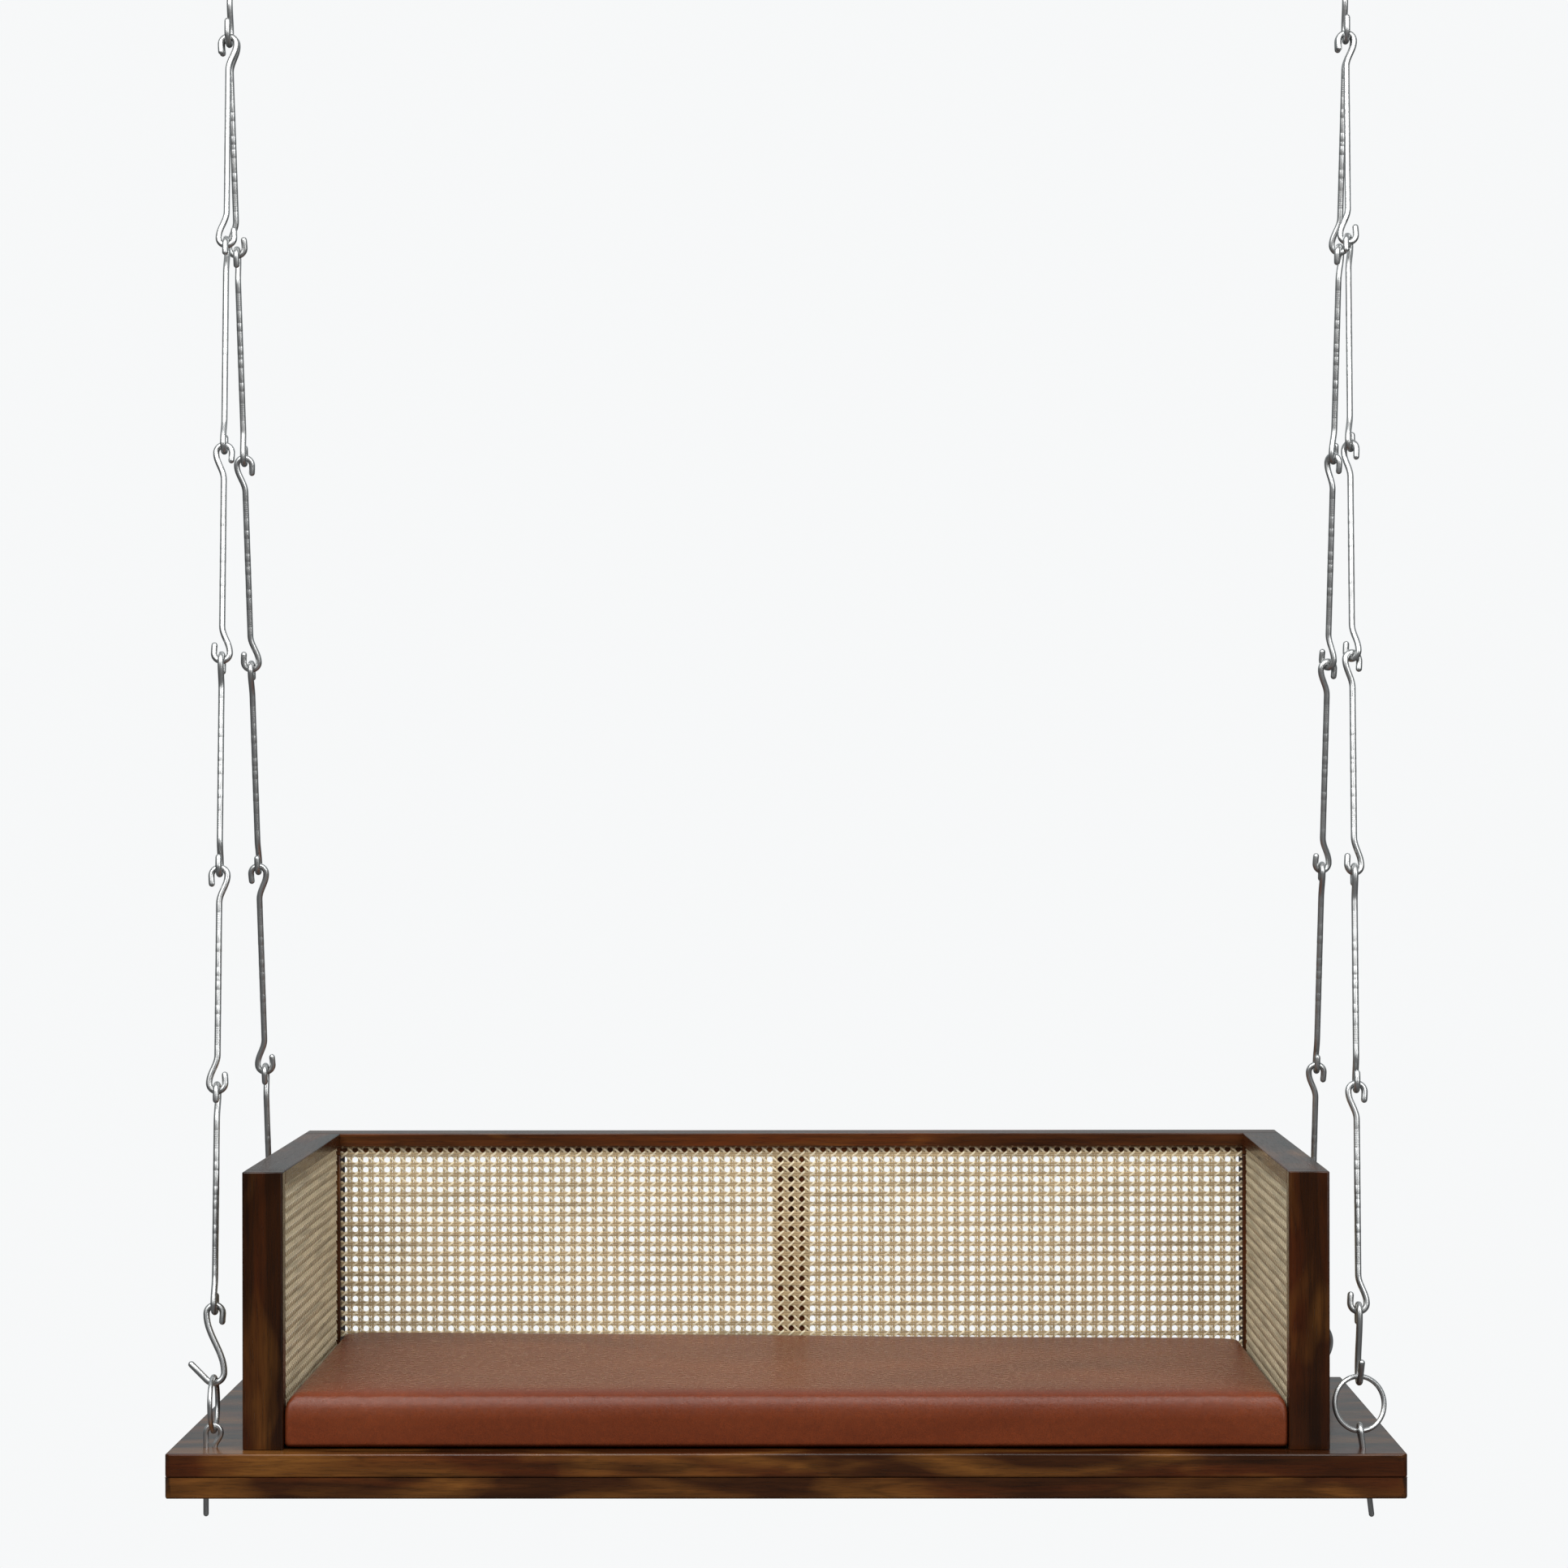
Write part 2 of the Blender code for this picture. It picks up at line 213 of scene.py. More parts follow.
def add_lights():
    """All three aim at a point over the middle of the seat."""
    middle = Vector((0, SEAT_Y, PLATFORM_TOP + AIM_RISE))
    for name, (place, size, power) in SOFTBOXES.items():
        softbox(name, place, middle, size, power)


def add_world():
    """Near white to the camera. For light and reflections, a room that is paler behind the swing."""
    world = bpy.data.worlds.new("studio")
    bpy.context.scene.world = world
    world.use_nodes = True
    nodes, links = world.node_tree.nodes, world.node_tree.links
    nodes.clear()
    out = nodes.new("ShaderNodeOutputWorld")
    seen = nodes.new("ShaderNodeBackground")
    seen.inputs["Color"].default_value = BACKDROP
    room = nodes.new("ShaderNodeBackground")
    path = nodes.new("ShaderNodeLightPath")
    mix = nodes.new("ShaderNodeMixShader")
    coords = nodes.new("ShaderNodeTexCoord")
    split = nodes.new("ShaderNodeSeparateXYZ")
    links.new(coords.outputs["Generated"], split.inputs[0])
    height = to_unit(nodes, links, split.outputs["Z"])
    depth = to_unit(nodes, links, split.outputs["Y"])
    by_height = ramp_between(nodes, links, height, ROOM_BY_HEIGHT)
    by_depth = ramp_between(nodes, links, depth, ROOM_BY_DEPTH)
    links.new(mixed(nodes, links, 1.0, by_height, by_depth, "MULTIPLY"), room.inputs["Color"])
    links.new(path.outputs["Is Camera Ray"], mix.inputs["Fac"])
    links.new(room.outputs[0], mix.inputs[1])
    links.new(seen.outputs[0], mix.inputs[2])
    links.new(mix.outputs[0], out.inputs["Surface"])


def to_unit(nodes, links, source):
    """A value from -1 to 1 as one from 0 to 1."""
    made = nodes.new("ShaderNodeMapRange")
    made.inputs["From Min"].default_value = -1
    links.new(source, made.inputs["Value"])
    return made.outputs[0]


def add_floor():
    """A floor well below the platform: as bright as the backdrop to the camera, and dark to all else."""
    made = bpy.data.materials.new("pale_floor")
    made.use_nodes = True
    nodes, links = made.node_tree.nodes, made.node_tree.links
    nodes.clear()
    out = nodes.new("ShaderNodeOutputMaterial")
    diffuse = nodes.new("ShaderNodeBsdfDiffuse")
    diffuse.inputs["Color"].default_value = (FLOOR_GREY, FLOOR_GREY, FLOOR_GREY, 1)
    glow = nodes.new("ShaderNodeEmission")
    glow.inputs["Color"].default_value = BACKDROP
    path = nodes.new("ShaderNodeLightPath")
    mix = nodes.new("ShaderNodeMixShader")
    links.new(path.outputs["Is Camera Ray"], mix.inputs["Fac"])
    links.new(diffuse.outputs[0], mix.inputs[1])
    links.new(glow.outputs[0], mix.inputs[2])
    links.new(mix.outputs[0], out.inputs["Surface"])
    bpy.ops.mesh.primitive_circle_add(vertices=64, radius=FLOOR_RADIUS, fill_type="NGON")
    floor = bpy.context.object
    floor.name = "floor"
    floor.location = (0, 0, UNDERSIDE - FLOOR_DROP)
    floor.data.materials.append(made)


# ---------------------------------------------------------------- materials


def new_material(name):
    made = bpy.data.materials.new(name)
    made.use_nodes = True
    tree = made.node_tree
    return made, tree.nodes, tree.links, tree.nodes["Principled BSDF"]


def ramp_between(nodes, links, source, stops):
    """A colour ramp fed by a value, with (position, colour) stops."""
    ramp = nodes.new("ShaderNodeValToRGB")
    elements = ramp.color_ramp.elements
    while len(elements) < len(stops):
        elements.new(0.5)
    for element, (position, color) in zip(elements, stops):
        element.position = position
        element.color = (*color, 1)
    links.new(source, ramp.inputs["Fac"])
    return ramp.outputs["Color"]


def noise_of(nodes, links, vector, scale, detail=3.0, distortion=0.0):
    made = nodes.new("ShaderNodeTexNoise")
    made.inputs["Scale"].default_value = scale
    made.inputs["Detail"].default_value = detail
    made.inputs["Distortion"].default_value = distortion
    links.new(vector, made.inputs["Vector"])
    return made.outputs["Fac"]


def stretched(nodes, links, vector, scale, offset=(0, 0, 0)):
    made = nodes.new("ShaderNodeMapping")
    made.inputs["Scale"].default_value = scale
    made.inputs["Location"].default_value = offset
    links.new(vector, made.inputs["Vector"])
    return made.outputs["Vector"]


def mixed(nodes, links, factor, one, two, blend="MIX"):
    """Mixes two colours; a factor or colour may be a socket or a plain value."""
    made = nodes.new("ShaderNodeMix")
    made.data_type = "RGBA"
    made.blend_type = blend
    for socket, value in ((made.inputs[0], factor), (made.inputs[6], one), (made.inputs[7], two)):
        if isinstance(value, bpy.types.NodeSocket):
            links.new(value, socket)
        elif isinstance(value, tuple):
            socket.default_value = (*value, 1)
        else:
            socket.default_value = value
    return made.outputs[2]


def math_of(nodes, links, operation, one, two):
    made = nodes.new("ShaderNodeMath")
    made.operation = operation
    for socket, value in zip(made.inputs, (one, two)):
        if isinstance(value, bpy.types.NodeSocket):
            links.new(value, socket)
        else:
            socket.default_value = value
    return made.outputs[0]


def bump_on(nodes, links, shader, height, strength, distance):
    made = nodes.new("ShaderNodeBump")
    made.inputs["Strength"].default_value = strength
    made.inputs["Distance"].default_value = distance
    links.new(height, made.inputs["Height"])
    links.new(made.outputs["Normal"], shader.inputs["Normal"])


def greys(*stops):
    """Ramp stops from (position, grey) pairs."""
    return [(position, (grey,) * 3) for position, grey in stops]


def along_grain(nodes, links, axis):
    """Object coordinates with the grain's direction first."""
    coords = nodes.new("ShaderNodeTexCoord")
    split = nodes.new("ShaderNodeSeparateXYZ")
    join = nodes.new("ShaderNodeCombineXYZ")
    links.new(coords.outputs["Object"], split.inputs[0])
    order = {"X": "XYZ", "Y": "YZX", "Z": "ZXY"}[axis]
    for source, target in zip(order, "XYZ"):
        links.new(split.outputs[source], join.inputs[target])
    return join.outputs[0]


DARK_WOOD = (0.018, 0.0055, 0.0018)
MID_WOOD = (0.04, 0.0125, 0.0034)
RED_WOOD = (0.07, 0.0165, 0.0038)
AMBER_WOOD = (0.15, 0.057, 0.0115)
WOOD_SPECULAR = 0.34
SEED_SHIFT = (1.7, 3.1, 5.3)
RINGS = 7.0

# Noises in the wood: scales along and across the grain, detail and distortion.
CLOUD = ((5.5, 17, 17), 2.0, 0.6)
FIGURE = ((2.2, 30, 30), 3.0, 0.5)
STREAK = ((5, 150, 150), 4.0, 0.4)
PORES = ((45, 900, 900), 2.0, 0.0)


def wood(name, axis, seed, amber, tone):
    """Dark lacquered rosewood. amber is how much pale figure shows, and tone how light the whole cut is."""
    made, nodes, links, shader = new_material(name)
    tints = (DARK_WOOD, MID_WOOD, RED_WOOD, AMBER_WOOD)
    dark, mid, red, gold = (tuple(tone * part for part in tint) for tint in tints)
    grain = along_grain(nodes, links, axis)
    shift = tuple(seed * part for part in SEED_SHIFT)
    cloud, figure, streak, pores = (
        noise_of(nodes, links, stretched(nodes, links, grain, scales, shift), 1.0, detail, distortion)
        for scales, detail, distortion in (CLOUD, FIGURE, STREAK, PORES)
    )
    ringed = math_of(nodes, links, "MULTIPLY", figure, RINGS)
    ringed = math_of(nodes, links, "ADD", ringed, streak)
    ringed = math_of(nodes, links, "PINGPONG", ringed, 0.5)
    lines = ramp_between(nodes, links, ringed, greys((0.0, 0.62), (0.12, 0.88), (0.3, 1.0)))
    base = ramp_between(nodes, links, figure, [(0.34, dark), (0.5, mid), (0.66, red)])
    edge = 0.62 - 0.14 * amber
    glow = ramp_between(nodes, links, cloud, greys((edge, 0.0), (edge + 0.22, 1.0)))
    base = mixed(nodes, links, glow, base, gold)
    shade = ramp_between(nodes, links, cloud, greys((0.3, 0.5), (0.48, 1.0)))
    base = mixed(nodes, links, 1.0, base, shade, "MULTIPLY")
    base = mixed(nodes, links, 0.8, base, lines, "MULTIPLY")
    fine = ramp_between(nodes, links, streak, greys((0.35, 0.78), (0.62, 1.1)))
    base = mixed(nodes, links, 1.0, base, fine, "MULTIPLY")
    specks = ramp_between(nodes, links, pores, greys((0.36, 0.5), (0.5, 1.0)))
    base = mixed(nodes, links, 0.6, base, specks, "MULTIPLY")
    links.new(base, shader.inputs["Base Color"])
    rough = ramp_between(nodes, links, pores, greys((0.3, 0.28), (0.6, 0.2)))
    links.new(rough, shader.inputs["Roughness"])
    shader.inputs["Specular IOR Level"].default_value = WOOD_SPECULAR
    bump_on(nodes, links, shader, pores, 0.04, 0.0002)
    return made


DULL_STEEL = (0.5, 0.505, 0.5)
BRIGHT_STEEL = (0.64, 0.65, 0.65)
STEEL_CLOUDS = 45.0


def steel():
    """Bright steel wire with soft clouds of dulling."""
    made, nodes, links, shader = new_material("polished_steel")
    coords = nodes.new("ShaderNodeTexCoord").outputs["Object"]
    cloud = noise_of(nodes, links, coords, STEEL_CLOUDS, 3.0)
    color = ramp_between(nodes, links, cloud, [(0.35, DULL_STEEL), (0.65, BRIGHT_STEEL)])
    links.new(color, shader.inputs["Base Color"])
    rough = ramp_between(nodes, links, cloud, greys((0.35, 0.42), (0.65, 0.34)))
    links.new(rough, shader.inputs["Roughness"])
    shader.inputs["Metallic"].default_value = 1.0
    return made


CANE_FIBRES = (60, 1800, 1800)
CANE_PATCHES = (9, 160, 160)
CANE_SHADE = 0.62


def cane(name, axis, tint):
    """Split cane: straw coloured, with fibres along the strand and darker patches here and there."""
    made, nodes, links, shader = new_material(name)
    fibre = along_grain(nodes, links, axis)
    fine = noise_of(nodes, links, stretched(nodes, links, fibre, CANE_FIBRES), 1.0, 2.0)
    patch = noise_of(nodes, links, stretched(nodes, links, fibre, CANE_PATCHES), 1.0, 3.0)
    low = tuple(CANE_SHADE * part for part in tint)
    base = ramp_between(nodes, links, patch, [(0.32, low), (0.55, tint)])
    fibres = ramp_between(nodes, links, fine, greys((0.3, 0.72), (0.55, 1.0)))
    base = mixed(nodes, links, 0.8, base, fibres, "MULTIPLY")
    links.new(base, shader.inputs["Base Color"])
    rough = ramp_between(nodes, links, fine, greys((0.3, 0.5), (0.7, 0.32)))
    links.new(rough, shader.inputs["Roughness"])
    bump_on(nodes, links, shader, fine, 0.2, 0.0003)
    return made


LEATHERETTE_CLOUDS = [
    (0.3, (0.142, 0.029, 0.0095)),
    (0.5, (0.178, 0.038, 0.0125)),
    (0.7, (0.212, 0.049, 0.0165)),
]
CLOUD_SCALES = (3, 5, 9)
MOTTLE = 150.0
PEBBLES = 620.0


def leatherette():
    """Brown coated fabric: a fine pebble grain whose creases are darkened as painted shade, soft colour
    clouds and a satin sheen.
    """
    made, nodes, links, shader = new_material("brown_leatherette")
    coords = nodes.new("ShaderNodeTexCoord").outputs["Object"]
    cloud = noise_of(nodes, links, stretched(nodes, links, coords, CLOUD_SCALES), 1.0, 4.0, 0.6)
    mottle = noise_of(nodes, links, coords, MOTTLE, 3.0)
    cells = nodes.new("ShaderNodeTexVoronoi")
    cells.feature = "DISTANCE_TO_EDGE"
    cells.inputs["Scale"].default_value = PEBBLES
    links.new(coords, cells.inputs["Vector"])
    creases = ramp_between(nodes, links, cells.outputs[0], greys((0.0, 0.0), (0.16, 1.0)))
    base = ramp_between(nodes, links, cloud, LEATHERETTE_CLOUDS)
    tone = ramp_between(nodes, links, mottle, greys((0.3, 0.84), (0.7, 1.0)))
    base = mixed(nodes, links, 1.0, base, tone, "MULTIPLY")
    # Painted shade: the colour is darkened along the grain's creases.
    base = mixed(nodes, links, 0.3, base, creases, "MULTIPLY")
    links.new(base, shader.inputs["Base Color"])
    rough = ramp_between(nodes, links, mottle, greys((0.3, 0.32), (0.7, 0.25)))
    links.new(rough, shader.inputs["Roughness"])
    shader.inputs["Specular IOR Level"].default_value = 0.26
    bump_on(nodes, links, shader, creases, 0.25, 0.0003)
    return made


# ---------------------------------------------------------------- wire pieces


def new_piece(name, mesh, made_of, body):
    piece = bpy.data.objects.new(name, mesh)
    bpy.context.scene.collection.objects.link(piece)
    mesh.materials.append(made_of)
    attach(piece, body)
    return piece


def arc(center, radius, start, stop, step=10):
    """Points round a circle from one angle to another, about a step apart, in degrees, in the XZ plane."""
    count = max(2, round(abs(stop - start) / step))
    angles = [math.radians(start + (stop - start) * k / count) for k in range(count + 1)]
    return [(center[0] + radius * math.cos(a), center[1] + radius * math.sin(a)) for a in angles]


def ease(start, stop, steps=12):
    """Points of a smooth S bend that leaves and arrives upright, without its two ends."""
    points = []
    for k in range(1, steps):
        share = k / steps
        blend = (1 - math.cos(math.pi * share)) / 2
        points.append((start[0] + (stop[0] - start[0]) * blend, start[1] + (stop[1] - start[1]) * share))
    return points


def rod(name, path, radius, closed=False, radii=None):
    """A round rod swept along a path in the XZ plane, with rounded ends unless it is a closed ring."""
    count = len(path)
    radii = radii or [radius] * count
    points = [Vector((x, 0, z)) for x, z in path]
    rings = []
    for k, point in enumerate(points):
        before = points[k - 1] if k or closed else point
        after = points[(k + 1) % count] if k < count - 1 or closed else point
        along = (after - before).normalized()
        rings.append((point, along, radii[k]))
    if not closed:
        first, last = rings[0], rings[-1]
        rings = end_cap(*first, -1) + rings + end_cap(*last, 1)[::-1]
    verts = []
    for point, along, size in rings:
        outward = Vector((along.z, 0, -along.x))
        for k in range(ROD_SIDES):
            turn = 2 * math.pi * k / ROD_SIDES
            verts.append(point + size * (math.cos(turn) * outward + math.sin(turn) * Vector((0, 1, 0))))
    faces = []
    total = len(rings)
    for r in range(total if closed else total - 1):
        one, two = r * ROD_SIDES, (r + 1) % total * ROD_SIDES
        for k in range(ROD_SIDES):
            after = (k + 1) % ROD_SIDES
            faces.append((one + k, two + k, two + after, one + after))
    if not closed:
        faces.append(tuple(range(ROD_SIDES)))
        faces.append(tuple(reversed(range((total - 1) * ROD_SIDES, total * ROD_SIDES))))
    return finished_mesh(name, verts, faces, ROD_SHARP)


def end_cap(point, along, size, sign):
    """Ever smaller rings that round a rod's end, from the smallest inwards."""
    turns = [math.radians(angle) for angle in ROD_END_ANGLES]
    return [(point + sign * along * size * math.sin(a), along, size * math.cos(a)) for a in turns]


def shaded(mesh, sharp):
    """Smooth shading, except at edges that turn by more than an angle in degrees."""
    mesh.shade_smooth()
    mesh.set_sharp_from_angle(angle=math.radians(sharp))


def finished_mesh(name, verts, faces, sharp):
    mesh = bpy.data.meshes.new(name)
    mesh.from_pydata(verts, [], faces)
    outward_faces(mesh)
    shaded(mesh, sharp)
    return mesh


def outward_faces(mesh):
    work = bmesh.new()
    work.from_mesh(mesh)
    bmesh.ops.recalc_face_normals(work, faces=work.faces)
    work.to_mesh(mesh)
    work.free()


def hook_top():
    """A hook with its tip on -X, over the top at the origin, down to a shaft on the axis."""
    tip = [(-HOOK * TIP_END, -HOOK - TIP), (-HOOK * TIP_MIDDLE, -HOOK - TIP / 2)]
    return [*tip, *arc((0, -HOOK), HOOK, 180, 0), *ease((HOOK, -HOOK), (0, -HOOK_LEG)), (0, -HOOK_LEG)]


def turned_over(points, height):
    """The same hook at the other end of a piece, half a turn round."""
    return [(-x, -height - z) for x, z in reversed(points)]


def shaft_profile(start, length):
    """Heights and radii down a link's straight shaft, with its grooves and raised bands."""
    marks = []
    for low, high in GROOVE_RUNS:
        for k in range(GROOVES):
            middle = (low + (high - low) * k / (GROOVES - 1)) * length
            half = GROOVE_WIDTH / 2
            marks += [(middle - half, 0.0), (middle, -GROOVE_DEPTH), (middle + half, 0.0)]
    for share in BANDS:
        middle = share * length
        half = BAND_WIDTH / 2
        for sign in (-1, 1):
            edge = middle + sign * half
            marks += [
                (edge + sign * BAND_NICK * 2, 0.0),
                (edge + sign * BAND_NICK, -BAND_RISE),
                (edge, BAND_RISE),
            ]
    return [(start - at, WIRE + rise) for at, rise in sorted(marks)]


def link_mesh():
    height = LINK_PITCH + CONTACT
    top = hook_top()
    shaft = shaft_profile(-HOOK_LEG, height - 2 * HOOK_LEG)
    bottom = turned_over(top, height)
    path = top + [(0, z) for z, _ in shaft] + bottom
    radii = [WIRE] * len(top) + [r for _, r in shaft] + [WIRE] * len(bottom)
    return rod("link", path, WIRE, radii=radii)


def s_hook_path(height):
    """A hook's bow at the top, and a wider bow at the bottom whose end flares out at 45 degrees."""
    top = [(HOOK * TIP_END, -HOOK - TIP), *arc((0, -HOOK), HOOK, 0, 180)]
    lower = arc((0, S_BOW - height), S_BOW, 0, -S_OPENING)
    reach = S_FLARE * math.cos(math.radians(180 - S_OPENING))
    tip = (lower[-1][0] - reach, lower[-1][1] + reach)
    middle = ((lower[-1][0] + tip[0]) / 2, (lower[-1][1] + tip[1]) / 2)
    return [*top, *ease((-HOOK, -HOOK), lower[0], 14), *lower, middle, tip]


def hanger_path():
    """A link's hook over the ceiling eye, and a wide bow below that carries both chains."""
    top = hook_top()[:-HANGER_SHORTER]
    low = arc((0, HANGER_BOW - HANGER_HEIGHT), HANGER_BOW, 0, -180)
    tip = (low[-1][0] * HANGER_TIP_END, low[-1][1] + HANGER_TIP)
    return [*top, *ease(top[-1], low[0], 8), *low, tip]


def staple_path():
    """A long leg through both boards, the eye's bow, and a short leg that ends inside the top board."""
    middle = EYE_TOP - STAPLE_BOW
    through = PLATFORM_TOP - UNDERSIDE + PIN_END - STAPLE_WIRE
    bow = arc((0, middle), STAPLE_BOW, 180, 0)
    surface = (STAPLE_FOOT, 0)
    end = (STAPLE_FOOT, -STAPLE_BLIND)
    return [(-STAPLE_BOW, -through), (-STAPLE_BOW, 0), *bow, *ease(bow[-1], surface, 8), surface, end]


def baked(mesh, name, matrix):
    """A copy of a mesh moved into the row frame."""
    copy = mesh.copy()
    copy.name = name
    copy.transform(matrix)
    return copy


def chain_line(side, end):
    """The frame at a chain's top, with -Z down the chain, and the chain's length to its staple."""
    sway = pivot(f"sway_{side}")
    top = sway + Vector((0, ENDS[end] * PAIR_OFFSET, 0))
    foot = Vector((SIDES[side] * STAPLE_X, SEAT_Y + ENDS[end] * STAPLE_Y, PLATFORM_TOP + EYE_TOP))
    line = foot - top
    lean = Matrix.Rotation(math.atan2(line.y, -line.z), 4, "X")
    splay = Matrix.Rotation(-math.asin(line.x / line.length), 4, "Y")
    return Matrix.Translation(top) @ lean @ splay, line.length


def on_line(base, drop, turn):
    """A place on a chain's line, turned about it by an angle in degrees."""
    return base @ Matrix.Translation((0, 0, drop)) @ Matrix.Rotation(math.radians(turn), 4, "Z")


def add_chain(side, end, metal, link, ring):
    tag = side[0] + end[0]
    body = f"chains_{side}"
    base, length = chain_line(side, end)
    height = CONTACT
    for number, turn in enumerate(LINK_TURNS[side], start=1):
        name = f"steel_link_{tag}_{number}"
        piece = new_piece(name, baked(link, name, on_line(base, height, turn)), metal, body)
        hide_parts(f"link_{tag}_{number}")
        height -= LINK_PITCH
    ring_top = 2 * RING_RADIUS - STAPLE_CONTACT - length
    hook_height = height - (ring_top - RING_CONTACT)
    hook = rod("s_hook", s_hook_path(hook_height), WIRE)
    name = f"steel_s_hook_{tag}"
    piece = new_piece(name, baked(hook, name, on_line(base, height, S_HOOK_TURN[side])), metal, body)
    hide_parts(f"s_hook_{tag}")
    name = f"steel_ring_{tag}"
    at = on_line(base, ring_top - RING_RADIUS, RING_TURN[side])
    piece = new_piece(name, baked(ring, name, at), metal, body)
    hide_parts(f"ring_{tag}")


def add_staples(metal):
    shape = rod("staple", staple_path(), STAPLE_WIRE)
    for side, sign in SIDES.items():
        tilt = RIGHT_STAPLE_TILT if side == "right" else 0.0
        shift = EYE_TOP * math.sin(tilt)
        rise = EYE_TOP * (1 - math.cos(tilt))
        for end, toward in ENDS.items():
            tag = side[0] + end[0]
            at = Vector((sign * STAPLE_X - shift, SEAT_Y + toward * STAPLE_Y, PLATFORM_TOP + rise))
            turn = Matrix.Rotation(math.radians(STAPLE_TURN[side]), 4, "Z")
            place = Matrix.Translation(at) @ Matrix.Rotation(tilt, 4, "Y") @ turn
            name = f"steel_staple_{tag}"
            piece = new_piece(name, baked(shape, name, place), metal, "seat")
            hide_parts(f"eye_staple_{tag}")


def add_ceiling(side, metal):
    """The hanger, and the ceiling eye with its collars, plate and screws."""
    swing = pivot(f"swing_{side}")
    under_plate = Vector((swing.x, swing.y, corners(f"ceiling_plate_{side}")[0].z))
    quarter = Matrix.Rotation(math.radians(90), 4, "Z")
    hanger = rod("hanger", hanger_path(), WIRE)
    place = Matrix.Translation(swing + Vector((0, 0, CONTACT))) @ quarter
    name = f"steel_hanger_{side}"
    piece = new_piece(name, baked(hanger, name, place), metal, f"hanger_{side}")
    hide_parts(f"hanger_{side}")
    leg = under_plate.z - swing.z - EYE_CLEAR
    path = [(-CEILING_BOW, leg), *arc((0, CEILING_BOW), CEILING_BOW, 180, 360), (CEILING_BOW, leg)]
    name = f"steel_ceiling_eye_{side}"
    eye = rod(name, path, WIRE)
    eye.transform(Matrix.Translation(swing))
    piece = new_piece(name, eye, metal, "ceiling_fixings")
    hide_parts(f"ceiling_eye_{side}")
    plate = f"steel_plate_{side}"
    bevelled_node(f"ceiling_plate_{side}", plate, PLATE_ROUNDS, metal, "ceiling_fixings")
    for number in range(4):
        across = PLATE_SCREWS.x if number % 2 else -PLATE_SCREWS.x
        along = PLATE_SCREWS.y if number // 2 else -PLATE_SCREWS.y
        screw_head(f"plate_screw_{side}_{number}", under_plate + Vector((across, along, 0)), metal)
    for letter, reach in (("a", -CEILING_BOW), ("b", CEILING_BOW)):
        collar(f"eye_collar_{side}_{letter}", under_plate + Vector((reach, 0, 0)), metal)


def turned_piece(name, outline, at, metal):
    """A steel piece turned about a vertical axis: outline is (radius, height) from the top down, in mm."""
    verts = []
    for radius, height in outline:
        for k in range(TURNED_SIDES):
            turn = 2 * math.pi * k / TURNED_SIDES
            verts.append(at + Vector((radius * math.cos(turn), radius * math.sin(turn), height)) * MM)
    faces = []
    last = (len(outline) - 1) * TURNED_SIDES
    for row in range(0, last, TURNED_SIDES):
        for k in range(TURNED_SIDES):
            one, two = row + k, row + (k + 1) % TURNED_SIDES
            faces.append((one, two, two + TURNED_SIDES, one + TURNED_SIDES))
    faces.append(tuple(range(TURNED_SIDES)))
    faces.append(tuple(range(last, last + TURNED_SIDES)))
    new_piece(name, finished_mesh(name, verts, faces, TURNED_SHARP), metal, "ceiling_fixings")


def screw_head(name, at, metal):
    """A pan head against the plate, with a drive recess."""
    rim = [(2.8, 0.5), (5.0, 0.0), (5.0, -0.8), (4.4, -1.9), (3.2, -2.6), (1.7, -2.9)]
    recess = [(1.4, -2.9), (0.9, -1.6)]
    turned_piece(name, rim + recess, at, metal)


def collar(name, at, metal):
    """The weld bead round a ceiling eye's leg."""
    outline = [(3.6, -0.1), (6.0, -0.1), (5.8, -1.0), (4.9, -2.0), (3.9, -2.9), (3.55, -3.0)]
    turned_piece(name, outline, at, metal)


def rounded_block(name, low, high, top, bottom, upright, segments=3):
    """A board between two corners, with a radius each for its top, bottom and upright edges."""
    mesh = bpy.data.meshes.new(name)
    work = bmesh.new()
    bmesh.ops.create_cube(work, size=1)
    for vert in work.verts:
        share = vert.co + Vector((0.5, 0.5, 0.5))
        vert.co = Vector([low[k] + (high[k] - low[k]) * share[k] for k in range(3)])
    weights = work.edges.layers.float.new("bevel_weight_edge")
    widest = max(top, bottom, upright)
    middle = (low.z + high.z) / 2
    for line in work.edges:
        ends = [vert.co.z > middle for vert in line.verts]
        radius = upright if ends[0] != ends[1] else top if ends[0] else bottom
        line[weights] = radius / widest
    work.to_mesh(mesh)
    work.free()
    piece = bpy.data.objects.new(name, mesh)
    bpy.context.scene.collection.objects.link(piece)
    bevel = piece.modifiers.new("rounded_edges", "BEVEL")
    bevel.limit_method = "WEIGHT"
    bevel.width = widest
    bevel.segments = segments
    return piece


def bevelled_node(node, name, rounds, made_of, body):
    """A board on a node's box in place of that node. rounds are its top, bottom and upright edges' radii."""
    low, high = corners(node)
    piece = rounded_block(name, low, high, *rounds)
    piece.data.materials.append(made_of)
    shaded(piece.data, BOARD_SHARP)
    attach(piece, body)
    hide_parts(node)
    return piece


# ---------------------------------------------------------------- wooden frame

# Radii of each kind of board's top, bottom and upright edges.
TOP_BOARD_ROUNDS = (2.0 * MM, 2.2 * MM, 7 * MM)
LOWER_BOARD_ROUNDS = (0.4 * MM, 2.5 * MM, 7 * MM)
RAIL_ROUNDS = (1.4 * MM, 1.2 * MM, 6 * MM)
POST_ROUNDS = (1.4 * MM, 0.8 * MM, 2.4 * MM)
PLAIN_ROUNDS = (1.2 * MM, 1.2 * MM, 1.2 * MM)


